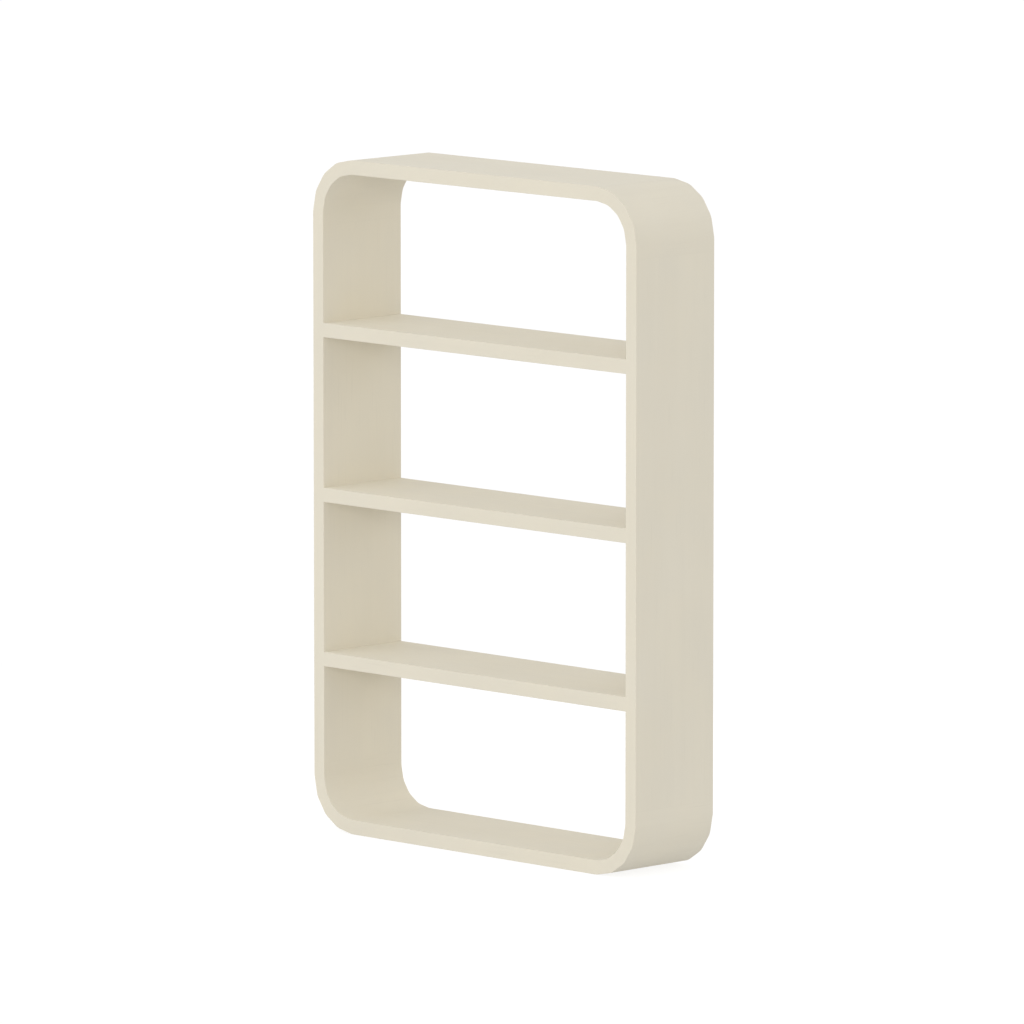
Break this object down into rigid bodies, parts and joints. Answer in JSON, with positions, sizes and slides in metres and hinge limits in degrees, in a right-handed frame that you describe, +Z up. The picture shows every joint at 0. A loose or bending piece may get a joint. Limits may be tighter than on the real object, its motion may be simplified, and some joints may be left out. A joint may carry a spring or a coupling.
{
  "type": "miniature bookcase",
  "caption": "Small open-backed bookcase in cream painted wood, with a rounded rectangular carcass and fixed full-depth shelves, for furnishing a dolls' house.",
  "frame": {"origin": "the middle of the footprint, on the floor: the bottom centre of the object's box", "axes": "+Z up, +X to the right of someone facing the front, -Y out of the front, +Y towards the back"},
  "size_m": [0.1, 0.024, 0.15],
  "materials": {
    "paint": "matte",
    "dowel_wood": "matte"
  },
  "bodies": {
    "root": {"side_left": "paint", "side_right": "paint", "base_board": "paint", "top_board": "paint", "corner_bottom_left": "paint", "corner_bottom_right": "paint", "corner_top_left": "paint", "corner_top_right": "paint", "shelf_lower": "paint", "shelf_middle": "paint", "shelf_upper": "paint", "dowels_bottom_left_side": "dowel_wood", "dowels_bottom_left_board": "dowel_wood", "dowels_bottom_right_side": "dowel_wood", "dowels_bottom_right_board": "dowel_wood", "dowels_top_left_side": "dowel_wood", "dowels_top_left_board": "dowel_wood", "dowels_top_right_side": "dowel_wood", "dowels_top_right_board": "dowel_wood"}
  },
  "joints": []
}
